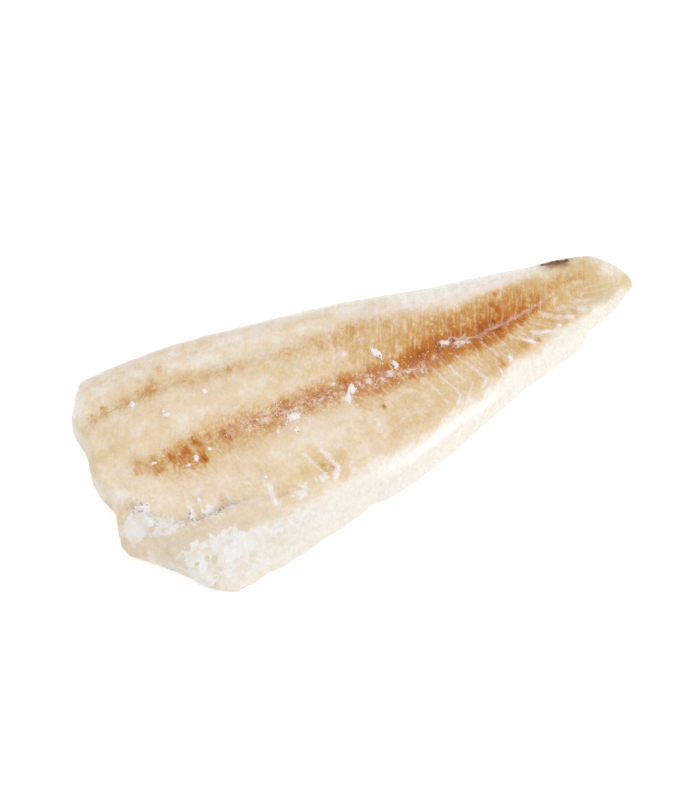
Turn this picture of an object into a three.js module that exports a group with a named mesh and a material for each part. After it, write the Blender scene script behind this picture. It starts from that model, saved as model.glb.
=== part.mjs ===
// A frozen skinless hake fillet, lying with its skinned side up: one solid of fish flesh.
// The top is a height field over the fillet's outline. Its rows follow the chevrons of the
// muscle flakes, so every third row is a groove between two flakes. A rounded wall runs
// round the outline, and the underside is flat, as the fillet was frozen on a tray.
// Lengths are millimetres. While it is drawn, X runs along the midline from the head cut
// to the tail, Y points across to the back edge, and Z is up from the table.
import * as THREE from 'three';
import { ImprovedNoise } from 'three/addons/math/ImprovedNoise.js';

// Main sizes
const LENGTH = 260;
const LOIN_HEIGHT = 21.5;
const FLAP_HEIGHT = 6;
const FLAKE_COUNT = 38;
const FLAKE_DEPTH = 0.5;

// Outline: distance from the midline to each long edge, as [distance from the head end, width]
const BACK_EDGE = [
  [0, 53], [44, 54.5], [88, 50.5], [131, 43.5], [175, 35], [219, 28], [241, 25], [LENGTH, 18],
];
const BELLY_EDGE = [
  [0, 65], [32, 66], [56, 64], [80, 59], [115, 53.6], [142, 46.3], [170, 36], [199, 26.8], [221, 20],
  [241, 9.6], [LENGTH, 2.5],
];
// Nicks bitten out of the belly edge: where, how deep and how long
const BELLY_NICKS = [[50, 1.2, 3], [104, 2, 5], [156, 0.5, 3], [191, 1.2, 4], [209, 0.6, 3], [230, 2, 3.5]];

// End cuts: distance from the head end, for a share of the width from -1 (belly edge) to 1 (back edge)
const HEAD_CUT = [
  [-1, 35], [-0.93, 27.2], [-0.72, 16.2], [-0.54, 4], [-0.47, 0], [-0.34, 0], [-0.2, 2.4], [0, -0.4],
  [0.4, 1.8], [0.6, 0.8], [0.8, 5], [1, 12],
];
const TAIL_CUT = [[-1, 247], [-0.4, 255.5], [0.25, LENGTH], [0.7, 256], [1, 251]];

// Height of the loin along the fillet, as a share of LOIN_HEIGHT
const LOIN_PROFILE = [
  [0, 0.86], [30, 0.97], [75, 1], [130, 0.93], [180, 0.76], [220, 0.57], [248, 0.4], [LENGTH, 0.33],
];

// Walls and edges
const WALL_SHARE = 0.4; // height of the widest line round the fillet, as a share of the local height
const WALL_INSET = 2.2; // how far the underside draws in below that line
const BACK_ROUNDNESS = 3; // exponents of the rounded shoulders: a higher one is squarer
const BELLY_ROUNDNESS = 6;
const FLAP_ROUNDNESS = 3;
const HEAD_EDGE_RADIUS = 2.6;
const TAIL_EDGE_RADIUS = 5;

// Furrows along the top
const MIDLINE = { depth: 1.3, spread: 3.6, from: 8, to: 252, fade: 26 };
const MIDLINE_DIP = { depth: 1.4, spread: 12, from: 40, to: 256, fade: 50 };
const BACK_SEAM = { depth: 1.3, spread: 3, from: 4, to: 126, fade: 22 };
const BACK_SEAM_LINE = [[0, 27], [18, 32], [60, 31.5], [100, 30], [140, 27]];
const BELLY_SEAM = { depth: 1.6, spread: 2.6, from: 3, to: 100, fade: 14 };
const BELLY_SEAM_LINE = [[0, -10], [8, -18], [18, -31], [30, -35.5], [55, -37.5], [80, -38.5], [100, -35]];
const FLAP_END = 112; // where the belly flap has grown into the full loin
const FLAP_BLEND = 34;
const FLAP_SLOPE_WIDTH = 30;

// Flakes: rows of the mesh lean towards the tail as they leave the midline
const BACK_LEAN = 0.5; // run along the fillet for each millimetre across, towards the back edge
const BELLY_LEAN = 0.28; // and towards the belly edge
const FIRST_GROOVE = 1.5; // distance of the first groove from the head end, on the midline
const LEAN_EASE = 0.5; // share of the lean that is lost at the outer edge
const LEAN_FADE = 34; // length at both ends over which the lean and the grooves fade
const FLAKES_SHOW_FROM = 95;
const FLAKES_SHOW_FULLY = 150;
const FLAKES_FAINT = 0.3; // groove depth near the head, as a share of FLAKE_DEPTH

// Slow unevenness of the frozen surface, as [height, length of a swell along, and across]
const SWELLS = [[1.1, 46, 30], [0.5, 17, 13]];

// Mesh density
const COLUMNS_PER_SIDE = 18;
const EDGE_CROWDING = 0.55; // how much closer together the columns stand near the edges
const ROWS_PER_FLAKE = 3;
const EDGE_ROW_STEPS = [0, 0.6, 1.6, 3];
const WALL_STEPS = [0.55, 1];

// A smooth function through [place, value] pairs
function profile(pairs) {
  const places = Float32Array.from(pairs, (pair) => pair[0]);
  const values = Float32Array.from(pairs, (pair) => pair[1]);
  const curve = new THREE.CubicInterpolant(places, values, 1);
  const { clamp } = THREE.MathUtils;
  return (place) => curve.evaluate(clamp(place, places[0], places.at(-1)))[0];
}

const { smoothstep, lerp } = THREE.MathUtils;
const gauss = (distance, spread) => Math.exp(-0.5 * (distance / spread) ** 2);
const rounded = (share) => Math.sqrt(Math.max(0, 1 - (1 - Math.min(1, share)) ** 2));

const noise = new ImprovedNoise();
const backEdge = profile(BACK_EDGE);
const bellyEdgePlain = profile(BELLY_EDGE);
const headCut = profile(HEAD_CUT);
const tailCut = profile(TAIL_CUT);
const loinProfile = profile(LOIN_PROFILE);
const backSeamLine = profile(BACK_SEAM_LINE);
const bellySeamLine = profile(BELLY_SEAM_LINE);

function bellyEdge(x) {
  const nicks = BELLY_NICKS.reduce((sum, [at, depth, spread]) => sum + depth * gauss(x - at, spread), 0);
  return bellyEdgePlain(x) - nicks;
}

// Depth of a furrow at a place along the fillet and a distance across from the furrow's line
function furrowDepth({ depth, spread, from, to, fade }, x, across) {
  const ends = smoothstep(x, from, from + fade) * (1 - smoothstep(x, to - fade, to));
  return depth * ends * gauss(across, spread);
}

// The flakes' lean fades out at both cuts
function leanFade(station) {
  return smoothstep(station, 0, LEAN_FADE) * (1 - smoothstep(station, LENGTH - LEAN_FADE, LENGTH));
}

// The belly flap's share: 1 on the thin flap near the head, 0 on the loin
function flapShare(x, y) {
  const along = 1 - smoothstep(x, FLAP_END - FLAP_BLEND, FLAP_END);
  const seam = bellySeamLine(x);
  return along * smoothstep(seam - y, 0, FLAP_SLOPE_WIDTH);
}

// Height of the flesh before its edges are rounded
function fleshHeight(x, y) {
  const loin = LOIN_HEIGHT * loinProfile(x);
  const height = lerp(loin, Math.min(FLAP_HEIGHT, loin), flapShare(x, y));
  const swell = ([size, along, across]) => size * noise.noise(x / along, y / across, size);
  const uneven = SWELLS.reduce((sum, sizes) => sum + swell(sizes), 0);
  const furrows = furrowDepth(MIDLINE, x, y) + furrowDepth(MIDLINE_DIP, x, y)
    + furrowDepth(BACK_SEAM, x, y - backSeamLine(x)) + furrowDepth(BELLY_SEAM, x, y - bellySeamLine(x));
  return height + uneven - furrows * (height / LOIN_HEIGHT);
}

// The place of a row and column on the table: rows lean towards the tail as they leave the midline
function planPoint(station, share) {
  const straight = lerp(headCut(share), tailCut(share), station / LENGTH);
  const [widthAt, lean] = share > 0 ? [backEdge, BACK_LEAN] : [bellyEdge, BELLY_LEAN];
  const offset = Math.abs(share) * widthAt(straight);
  const x = straight + lean * offset * (1 - LEAN_EASE * Math.abs(share)) * leanFade(station);
  return new THREE.Vector2(x, share * widthAt(x));
}

// A point of the top: station is the row's place along the midline, share the place across it
function topPoint({ at, groove }, share) {
  const { x, y } = planPoint(at, share);
  const flap = flapShare(x, y);
  const roundness = share > 0 ? BACK_ROUNDNESS : lerp(BELLY_ROUNDNESS, FLAP_ROUNDNESS, flap);
  const side = Math.sqrt(1 - Math.abs(share) ** roundness);
  const headEnd = rounded((x - headCut(share)) / HEAD_EDGE_RADIUS);
  const tailEnd = rounded((tailCut(share) - x) / TAIL_EDGE_RADIUS);
  const height = fleshHeight(x, y);
  const wall = WALL_SHARE * height;
  const shown = lerp(FLAKES_FAINT, 1, smoothstep(x, FLAKES_SHOW_FROM, FLAKES_SHOW_FULLY)) * (1 - flap);
  const notch = groove ? FLAKE_DEPTH * shown * leanFade(at) * side : 0;
  return new THREE.Vector3(x, y, wall + (height - wall) * side * headEnd * tailEnd - notch);
}

// A point of the wall below the rim: the same place on the outline, lower and drawn inwards.
// drop runs from 0 at the rim to 1 at the foot.
function wallPoint({ at }, share, rimHeight, drop) {
  const inset = WALL_INSET * (1 - Math.sqrt(1 - drop ** 2));
  const width = Math.abs(planPoint(at, Math.sign(share) || 1).y);
  const { x, y } = planPoint(lerp(inset, LENGTH - inset, at / LENGTH), share * (1 - inset / width));
  return new THREE.Vector3(x, y, rimHeight * (1 - drop));
}

// Shares of the width from the belly edge to the back edge, closer together near both edges
function columnShares() {
  const shares = [];
  for (let i = -COLUMNS_PER_SIDE; i <= COLUMNS_PER_SIDE; i += 1) {
    const even = i / COLUMNS_PER_SIDE;
    shares.push(lerp(even, Math.sin((even * Math.PI) / 2), EDGE_CROWDING));
  }
  return shares;
}

// Places of the rows along the midline: close together at both cuts, then one flake after another
function rowStations() {
  const pitch = LENGTH / (FLAKE_COUNT * ROWS_PER_FLAKE);
  const last = EDGE_ROW_STEPS.at(-1);
  const stations = EDGE_ROW_STEPS.map((at) => ({ at, groove: false }));
  for (let i = 1; FIRST_GROOVE + i * pitch < LENGTH; i += 1) {
    const at = FIRST_GROOVE + i * pitch;
    if (at > last + pitch / 2 && at < LENGTH - last - pitch / 2) {
      stations.push({ at, groove: i % ROWS_PER_FLAKE === 0 });
    }
  }
  const tailRows = EDGE_ROW_STEPS.map((step) => ({ at: LENGTH - step, groove: false })).reverse();
  return stations.concat(tailRows);
}

// The closed solid: the top grid, the wall below its rim, and the flat underside
function filletGeometry() {
  const shares = columnShares();
  const stations = rowStations();
  const columns = shares.length;
  const rows = stations.length;
  const points = stations.flatMap((station) => shares.map((share) => topPoint(station, share)));
  const triangles = [];
  const quad = (a, b, c, d) => triangles.push([a, b, c], [a, c, d]);
  for (let r = 0; r + 1 < rows; r += 1) {
    for (let c = 0; c + 1 < columns; c += 1) {
      const a = r * columns + c;
      quad(a, a + columns, a + columns + 1, a + 1);
    }
  }

  // The rim, counter-clockwise from above: belly edge, tail cut, back edge, head cut
  const rim = [];
  for (let r = 0; r < rows; r += 1) rim.push([r, 0]);
  for (let c = 1; c < columns; c += 1) rim.push([rows - 1, c]);
  for (let r = rows - 2; r >= 0; r -= 1) rim.push([r, columns - 1]);
  for (let c = columns - 2; c > 0; c -= 1) rim.push([0, c]);
  let loop = rim.map(([r, c]) => r * columns + c);
  for (const drop of WALL_STEPS) {
    const lower = rim.map(([r, c]) => {
      const rimHeight = points[r * columns + c].z;
      return points.push(wallPoint(stations[r], shares[c], rimHeight, drop)) - 1;
    });
    lower.forEach((index, i) => {
      const next = (i + 1) % rim.length;
      quad(index, lower[next], loop[next], loop[i]);
    });
    loop = lower;
  }

  const footprint = loop.map((index) => new THREE.Vector2(points[index].x, points[index].y));
  for (const [a, b, c] of THREE.ShapeUtils.triangulateShape(footprint, [])) {
    triangles.push([loop[c], loop[b], loop[a]]);
  }

  const geometry = new THREE.BufferGeometry().setFromPoints(points);
  geometry.setIndex(triangles.flat());
  geometry.computeVertexNormals();
  return geometry;
}

// The origin is at the middle of the underside
const geometry = filletGeometry();
geometry.computeBoundingBox();
const middle = geometry.boundingBox.getCenter(new THREE.Vector3());
geometry.translate(-middle.x, -middle.y, -geometry.boundingBox.min.z);

const flesh = new THREE.MeshStandardMaterial({ color: 0xe8d7b8, roughness: 0.45, metalness: 0 });
const fillet = new THREE.Mesh(geometry, flesh);
fillet.name = 'fillet';

const part = new THREE.Group();
part.add(fillet);

export default part;
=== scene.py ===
"""A frozen skinless hake fillet: fine flesh with frost on it, and a scrap of skin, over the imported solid.

Settings are in metres and degrees. Places on the fillet are in millimetres: along is the distance from
the head end, and across is the distance from the midline, positive towards the back edge.
"""

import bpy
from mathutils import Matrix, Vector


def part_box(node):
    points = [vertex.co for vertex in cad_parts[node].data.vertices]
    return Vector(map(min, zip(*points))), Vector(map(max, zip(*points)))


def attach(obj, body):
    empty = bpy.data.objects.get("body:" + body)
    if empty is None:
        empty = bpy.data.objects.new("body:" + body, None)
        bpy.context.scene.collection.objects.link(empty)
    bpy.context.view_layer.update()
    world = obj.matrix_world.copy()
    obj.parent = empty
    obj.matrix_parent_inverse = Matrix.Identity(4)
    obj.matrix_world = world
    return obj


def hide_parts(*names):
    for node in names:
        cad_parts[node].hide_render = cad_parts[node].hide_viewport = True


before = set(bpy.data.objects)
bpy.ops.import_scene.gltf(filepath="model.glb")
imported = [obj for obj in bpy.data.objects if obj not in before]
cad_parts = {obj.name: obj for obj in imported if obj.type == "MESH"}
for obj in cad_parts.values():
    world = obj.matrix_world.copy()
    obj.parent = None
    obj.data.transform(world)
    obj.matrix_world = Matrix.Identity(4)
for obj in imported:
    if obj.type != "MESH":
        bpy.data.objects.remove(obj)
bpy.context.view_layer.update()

import itertools
import math

import bmesh
import bpy
import numpy as np
from bpy.props import FloatProperty, FloatVectorProperty, IntProperty, PointerProperty
from mathutils import Vector
from mathutils.bvhtree import BVHTree

bl_info = {
    "name": "Frozen hake fillet",
    "version": (1, 0, 0),
    "blender": (4, 5, 0),
    "location": "View3D > Sidebar > Fillet",
    "description": "Builds the flesh, frost and skin of a frozen hake fillet over its solid",
    "category": "Add Mesh",
}

# The solid and its main places
MM = 0.001
NODE = "fillet"
BODY = "root"
HEAD_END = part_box(NODE)[0].x / MM
LENGTH = (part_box(NODE)[1].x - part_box(NODE)[0].x) / MM
MIDLINE_Y = 5.8

# Flakes: where the lines between them start on the midline, and how far they lean towards the tail
FLAKE_PITCH = 6.84
FIRST_FLAKE = 1.5
BACK_LEAN = 0.5
BELLY_LEAN = ((0, 0.17), (184, 0.17), (196, 0.6), (206, 1.3), (213, 1.8), (221, 2.2), (260, 2.6))
OUTER_START = 13.0
OUTER_LEAN = ((0, 0.19), (186, 0.19), (200, 0.0))
HOOK_ACROSS = ((60, 42), (95, 38), (152, 28), (172, 24.5), (185, 20), (200, 15), (215, 10), (260, 8))
HOOK_LEAN = -1.1

# Brown muscle along the midline: its middle, its spread to both sides and its share
BAND_LINE = (
    (10, -1), (20, -3), (30, -5.5), (42, -5.5), (50, -5), (60, -5), (70, -4), (80, -5), (90, -2.5),
    (100, -3.5), (110, -3), (120, -4), (130, -3.5), (140, -3), (150, -1.8), (160, -0.5), (170, 1.6),
    (180, 0.4), (190, 1.4), (200, 1.6), (210, 4.4), (220, 7), (240, 9),
)
BAND_BELOW = (
    (10, 5), (20, 9), (30, 14), (42, 14.5), (60, 13.5), (75, 10), (90, 8.5), (105, 9.5), (120, 9.5),
    (132, 11), (140, 11), (150, 11), (165, 11.5), (180, 11), (190, 9), (200, 6), (210, 6), (220, 7),
)
BAND_ABOVE = (
    (10, 5), (20, 6), (30, 7.5), (42, 10.5), (55, 12), (66, 12.5), (80, 10), (90, 7.5), (100, 8.5),
    (130, 9), (150, 6.4), (160, 7.6), (170, 6), (185, 7), (200, 7.5), (220, 8),
)
BAND_SHARE = (
    (9, 0.04), (14, 0.15), (20, 0.3), (26, 0.38), (32, 0.44), (40, 0.48), (50, 0.43), (60, 0.46),
    (70, 0.5), (80, 0.54), (90, 0.62), (110, 0.64), (120, 0.7), (130, 0.78), (140, 0.9), (150, 1.16),
    (160, 1.2), (170, 1.14), (180, 1.22), (190, 1.34), (197, 1.1), (205, 0.92), (212, 0.84), (220, 0.48),
    (230, 0.32), (240, 0.22), (250, 0.08), (258, 0.02),
)
MOST_BROWN = 1.6

# Tan muscle on both sides of it: shares
BACK_TAN = (
    (78, 0.08), (88, 0.16), (100, 0.22), (110, 0.22), (120, 0.3), (130, 0.39), (140, 0.43), (150, 0.46),
    (160, 0.54), (170, 0.59), (180, 0.64), (190, 0.66), (200, 0.59), (210, 0.53), (220, 0.47),
    (230, 0.41), (240, 0.37), (250, 0.14), (258, 0.05),
)
BELLY_TAN = (
    (60, 0.05), (84, 0.07), (104, 0.06), (116, 0.17), (124, 0.24), (135, 0.24), (150, 0.25), (165, 0.26),
    (180, 0.36), (190, 0.4), (222, 0.37), (240, 0.31), (254, 0.12),
)

# Seam along the back: where it runs, its share of brown muscle and its spread
BACK_SEAM_LINE = (
    (4, 26), (10, 28), (18, 29), (28, 29.6), (40, 30), (54, 28.6), (66, 27), (76, 26), (90, 24.4),
    (104, 23), (120, 22.2), (140, 22.4),
)
BACK_SEAM_SHARE = (
    (3, 0.1), (12, 0.22), (20, 0.26), (30, 0.26), (40, 0.3), (54, 0.24), (70, 0.2), (90, 0.15),
    (104, 0.16), (113, 0.2), (128, 0.2), (142, 0.1), (152, 0),
)
BACK_SEAM_SPREAD = 5.6

# Tufts of brown muscle: along, across, radius and share, and the factors for all shares and radii
BROWN_TUFTS = (
    (19, -2, 3.2, 0.34), (17.5, -4.6, 1.6, 0.2), (26, -7, 2.8, 0.32), (33, -4.2, 2.0, 0.48),
    (36, -8, 2.6, 0.3), (39.6, -4.4, 2.4, 0.6), (40, -12, 2.4, 0.24), (45.6, -1.8, 2.1, 0.62),
    (45, -11, 1.9, 1.1), (52, -1, 2.0, 0.2), (57.4, -4.6, 2.4, 0.66), (62, -4, 2.4, 0.24),
    (71, -3, 2.2, 0.32), (75, -6, 3.2, 0.2), (78, -8.6, 2.6, 0.18), (82, -11, 1.3, 0.6),
    (83, -4, 2.4, 0.3), (87.4, -1.4, 2.6, 0.56), (96, -7, 3.0, 0.22), (100, -1, 2.6, 0.28),
    (105, -3, 3.0, 0.3), (109, -5, 2.0, 0.22), (115.4, -0.4, 2.4, 0.56), (119, -1, 2.4, 0.3),
    (117, -13.4, 4.4, 0.22), (125.6, -19.8, 1.1, 0.85), (129, -1, 2.6, 0.36), (127, -11, 3.6, 0.24),
    (135.4, -5.6, 2.4, 0.5), (144.6, -9.6, 1.4, 0.6), (147.6, 0, 2.4, 0.2), (153, 0.2, 3.0, 0.2),
    (150, 4, 3.4, 0.14), (152.6, -2.6, 2.0, 0.2), (160, -2.4, 0.8, 0.6), (161, 2, 3.0, 0.26),
    (167, 2.4, 2.2, 0.34), (171, 4.6, 3.0, 0.24), (176, -6, 2.4, 0.26), (182, -4.8, 2.0, 0.34),
    (183, 2.6, 2.6, 0.1), (188.6, 4, 3.4, 0.1), (193.8, 8.8, 1.9, 0.8), (190.4, -3.6, 2.0, 0.34),
    (195, 3, 2.2, 0.26), (201, -1.6, 1.3, 0.4), (204, 1.6, 2.0, 0.26), (209, 3.4, 2.0, 0.2),
    (197, 17, 1.2, 0.34), (205, 11, 6.0, 0.12), (203.6, -14, 1.5, 0.4), (197, -15.6, 2.4, 0.16),
    (183, -20, 1.6, 0.3), (238, 11, 3.0, 0.06), (236, 6, 5.0, 0.05), (244.8, 8.4, 1.0, 0.45),
    (243, 18.6, 2.2, 0.3), (226, -7.4, 1.6, 0.3), (220.6, -9, 1.4, 0.24), (6, 24, 2.4, 0.16),
    (10, 27, 2.4, 0.2), (16.4, 29.6, 2.0, 0.2), (10.4, 30, 0.9, 0.3), (16, 31.6, 0.8, 0.34),
    (26, 30, 3.0, 0.16), (33, 30, 2.6, 0.22), (38.2, 31.4, 3.0, 0.2), (40.2, 34.4, 2.2, 0.22),
    (36.4, 28.6, 2.0, 0.16), (45.4, 39.4, 2.0, 0.16), (53.4, 29.6, 3.8, 0.18), (62, 26.4, 3.0, 0.18),
    (68, 25, 3.0, 0.16), (73, 26.6, 1.9, 0.4), (77.4, 25, 2.0, 0.24), (99, 22, 3.0, 0.14),
    (113, 21, 2.8, 0.14), (121, 21, 2.4, 0.1), (128.4, 22, 3.0, 0.12), (93, -38.6, 1.4, 0.3),
    (44, -35, 2.2, 0.34), (95, -37.6, 3.0, 0.12), (19, -36.6, 3.6, 0.14), (81, -36, 3.0, 0.26),
    (90, -37, 2.4, 0.3), (99, -36, 2.8, 0.26), (69, -40, 4.0, 0.2), (75, -41, 3.6, 0.2),
    (92, -35, 5.0, 0.12), (51, 44.6, 1.2, 0.34), (63, 41.6, 1.6, 0.2), (35, 38, 1.6, 0.24),
    (45, 39, 2.4, 0.24), (231, 19.6, 6.0, 0.2), (145, 20, 3.0, 0.16), (65, -27, 6.0, 0.16),
    (58, -30, 5.0, 0.1), (45, -34, 3.0, 0.16), (12.6, 10, 2.4, 0.16), (88, -34, 4.0, 0.16),
)
TUFT_SHARE = 0.85
TUFT_ALONG = 0.8
TUFT_ACROSS = 1.5

# Pale flesh: the lower border of the white band on the back, the upper border of the white belly, their
# shares, and the line of a painted highlight along the shoulder of the belly edge
WHITE_BACK_LINE = (
    (120, 27.5), (135, 28), (145, 26.4), (155, 24.4), (165, 21.4), (172, 19.8), (182, 19.4), (192, 20.2),
    (202, 21.2), (212, 21), (224, 18),
)
WHITE_BACK_SHARE = (
    (112, 0), (128, 0.5), (150, 0.62), (170, 0.8), (185, 0.95), (212, 0.95), (224, 0.5), (232, 0),
)
WHITE_BELLY_LINE = (
    (20, -56), (44, -50), (60, -48), (85, -47), (100, -44), (120, -42), (140, -37.6), (150, -34),
    (160, -31.4), (170, -28.4), (180, -25.4), (190, -21.4), (200, -17.8), (210, -14.4), (220, -11.4),
    (230, -8.4), (240, -5.4), (252, -1),
)
WHITE_BELLY_SHARE = ((20, 0.6), (50, 0.85), (80, 0.95), (112, 1))
BELLY_HIGHLIGHT_LINE = ((96, -48.6), (110, -47.6), (125, -45.6), (140, -42), (155, -36.8), (172, -31.6), (184, -28))

# Patches of flesh: along, across, radius along, radius across and share
# The pale patches at (11, -38) and (20, -46) are painted light that lifts the flap's left wall out of shade
PALE_PATCHES = (
    (9, 43, 8, 12, 0.6), (11, -38, 8, 7, 0.7), (20, -46, 8, 7, 0.7), (8, -13, 7, 6, 0.6),
    (20, -21, 9, 6, 0.4), (86, 12, 14, 5, 0.3), (60, 11, 12, 6, 0.3), (102, -31, 9, 6, 0.4),
    (26, -24, 12, 7, 0.35), (90, 36, 22, 6, 0.5), (108, -24, 14, 8, 0.5), (124, -26, 12, 7, 0.45),
    (80, -24, 14, 6, 0.3),
)
YELLOW_PATCHES = (
    (10, 12, 8, 12, 0.55), (90, 17, 24, 7, 0.3), (80, -37, 26, 7, 0.5), (156, -21, 28, 9, 0.45),
)
GLASSY_PATCHES = ((36, -50, 30, 12, 1), (246, -4, 18, 5, 0.6))
SPECK_PATCHES = (
    (12, -21, 5, 4, 1), (38, -36.6, 14, 1.6, 0.9), (30, -33, 1.4, 3, 0.9), (51, 44.6, 2.6, 1, 0.9),
    (63, 42, 2, 1.2, 0.7), (17, 29.4, 9, 1.4, 0.7),
)
FROST_BLOOMS = (
    (75, -6.4, 4, 3, 0.52), (68, -6, 2.6, 2, 0.45), (84, -12, 6, 4, 0.55), (93, -14, 3.4, 3, 0.6),
    (95, -23, 3, 5, 0.6), (99, -30, 4.6, 3, 0.6), (113, -9, 5, 3.4, 0.7), (126, -4, 4, 3, 0.55),
    (132, -3, 3.4, 3, 0.36), (150, -8, 7, 4, 0.5), (164.6, 0.6, 3, 2, 0.8), (171.6, -2.4, 4.4, 2, 0.7),
    (120.6, 12.4, 3, 2, 0.7), (132, 17, 5, 4, 0.5), (148, 19.4, 2.4, 1.8, 0.6), (64, 9, 9, 3, 0.4),
    (60, -50.4, 7, 1.6, 0.6), (70, -53, 5.4, 1.6, 0.65), (79, -51.4, 6, 2.4, 0.6),
    (36.6, -25, 6, 3.4, 0.62), (35.4, -29, 2, 2, 0.7), (47, -25.6, 3.2, 2.8, 0.62), (42, -28, 7, 5, 0.36),
    (78, -26, 1.8, 1.4, 0.75), (64.6, -31.4, 1.6, 1.4, 0.8), (103, -5, 4, 2.4, 0.5),
    (90, -4.4, 5, 2.6, 0.5), (208, -10.6, 6, 2, 0.6), (200, -12.6, 3.4, 2, 0.6), (216, -10, 3, 2, 0.6),
    (187, -18.4, 2, 3, 0.6), (36, -46.6, 5, 1.6, 0.5), (28, 26.4, 2, 3, 0.7), (38.4, 15, 2, 1.8, 0.75),
    (58.2, 19, 1.8, 1.4, 0.7),
)

# Single ovals: along, across, radius along and radius across
HEAD_CORNER = (3, 40, 6, 9)
FLAP_SHADE = (26, -44, 20, 9)
STAIN = (232, 21.6, 8.2, 4.2)

# How far the borders of patches, holes and threads waver, and over what size
WAVER = 1.4
WAVER_SIZE = 5.0

# Frost along the midline: where it runs, its width and its share
FROST_LINE = (
    (64, -5), (90, -4.6), (120, -4), (138, -5), (144, -7.5), (154, -7), (159, -3), (163, 0), (172, -0.6),
    (182, -0.8), (190, 0.2), (200, 2), (210, 3.6), (220, 5.6), (232, 8),
)
FROST_LINE_WIDTH = (
    (58, 6), (100, 7.5), (132, 6), (144, 2.8), (154, 2.6), (163, 1.6), (180, 1.2), (232, 1.2),
)
FROST_LINE_SHARE = (
    (50, 0), (60, 0.32), (74, 0.42), (100, 0.44), (130, 0.46), (155, 0.42), (163, 0.24), (172, 0.16),
    (208, 0.1), (226, 0.08), (236, 0),
)

# White film on the belly flap, and the holes in it: along, across, radius along and radius across, and
# the largest distance from its border that counts
FILM_PATCHES = (
    (26, -55, 8.6, 4.4), (29.6, -48.6, 9.6, 3.6), (38, -50.2, 8, 4.4), (36, -55, 6, 4),
    (47, -51, 3.4, 2.4), (6.6, -27, 4.6, 5), (12.6, -24, 2.6, 3), (11, -29, 4.4, 2.4),
    (17.8, -32.4, 3.6, 2.2), (22.6, -35, 3.6, 1.4), (30, -33, 1, 2.6), (37.4, -34.4, 1.8, 2.2),
    (87.8, -40.4, 2.2, 1.3), (80, -40.6, 1.3, 1), (75.6, -43.6, 1.2, 0.5), (46, -60.4, 3, 1.8),
    (58, -50.6, 5, 1), (66, -52.4, 4, 0.9), (72, -51, 4, 0.8), (80, -52, 4, 0.8), (64.2, -40, 1, 3),
)
FILM_HOLES = (
    (27, -51.4, 3, 0.6), (31.6, -52.4, 1.2, 0.9), (41.4, -58, 4, 3.6), (31.6, -58, 1.6, 2.4),
    (34.6, -61, 4, 2), (30, -63, 5, 1.8),
)
FILM_REACH = 4.0

# Frost threads: the places that each one runs through, its width and its share, and the largest distance
# from a thread that counts, in half widths
FROST_THREADS = (
    (((84, -28), (86, -33.5), (88.2, -37.6)), 1.1, 0.85),
    (((92, -30), (94.5, -35), (95, -38), (91.8, -42.2)), 1.7, 1),
    (((100, -30), (101.5, -34), (102, -38), (99, -41)), 0.9, 0.5),
    (((64.6, -36), (64.2, -43.4)), 1.8, 1),
    (((55.6, -32.6), (55, -36.6)), 0.7, 0.5),
    (((52, -37.8), (58, -38.6)), 1.4, 0.6),
    (((31.6, -21), (30.4, -27), (30, -35.4)), 1.2, 0.5),
    (((47, -30), (47, -36.4), (50, -37.6)), 1.0, 0.6),
    (((15, -30.6), (20, -33.6), (28, -36.8), (36, -38), (44, -36.8), (51, -37.8)), 1.2, 0.7),
    (((43.4, -48.6), (46, -53), (44.6, -58), (47, -60.8), (52.4, -60.2)), 1.6, 0.8),
    (((46, -50), (52, -49.6), (54, -51.6), (52.4, -56), (49, -60.4)), 1.2, 0.7),
    (((33, -46.4), (37, -48), (43, -48.2), (45, -45)), 1.2, 0.7),
    (((147.5, -13), (150, -21), (152, -28)), 1, 0.5),
    (((154, -11), (156.5, -20), (158.8, -26.8), (154, -30.8)), 1, 0.7),
    (((160.5, -11), (163.6, -21.6)), 1, 0.6),
    (((166, -24), (161, -30)), 1, 0.6),
    (((168, -12.5), (170.5, -19), (172.8, -24.6), (166, -30.4)), 1, 0.7),
    (((180.8, -2), (180, -8), (181.5, -11), (183.6, -15.6)), 1.0, 0.5),
    (((180, -19), (180.5, -24.4)), 1.0, 0.6),
    (((187, -2), (187.3, -7), (189, -12)), 0.8, 0.45),
    (((193.5, -1), (193.5, -8), (196, -11)), 0.8, 0.4),
    (((128, -30), (133, -27.4)), 0.9, 0.5),
    (((212, -1), (216, -4), (220, -6.4), (224.6, -8.2)), 2, 0.7),
    (((220, -0.4), (226, -3.4), (231.6, -5.8)), 2, 0.7),
    (((227, 0.4), (232, -1.6), (237, -3.2)), 1.8, 0.5),
    (((203.6, -8.8), (208, -10.6), (213.4, -11.2)), 1.8, 0.8),
    (((196, -10), (199, -12.6), (201.6, -15)), 1.8, 0.8),
    (((236, 3.4), (244, 3.2), (252, 2.6)), 0.8, 0.35),
    (((232, 1.6), (240, 0.6), (246, 0)), 0.8, 0.35),
    (((166.6, 2), (168, 6), (170.6, 10.4)), 0.7, 0.2),
    (((173, 2.6), (178.4, 9.6)), 0.7, 0.2),
    (((180.6, 1), (182.8, 8)), 0.7, 0.2),
    (((187, 1), (188.4, 6), (191, 12)), 0.7, 0.12),
    (((193.4, 2), (196.2, 5.6)), 0.7, 0.2),
    (((144.4, 11.6), (147.2, 18)), 0.8, 0.4),
    (((161, -1.6), (168, 2.6)), 0.8, 0.5),
    (((167, -2.6), (175, 1)), 0.8, 0.5),
    (((169, 1.6), (174, -3)), 0.8, 0.5),
    (((174, -0.8), (182, -0.8), (190, 0.2), (200, 2), (210, 3.6), (222, 6.2)), 1.2, 0.4),
)
THREAD_REACH = 6.0

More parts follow.
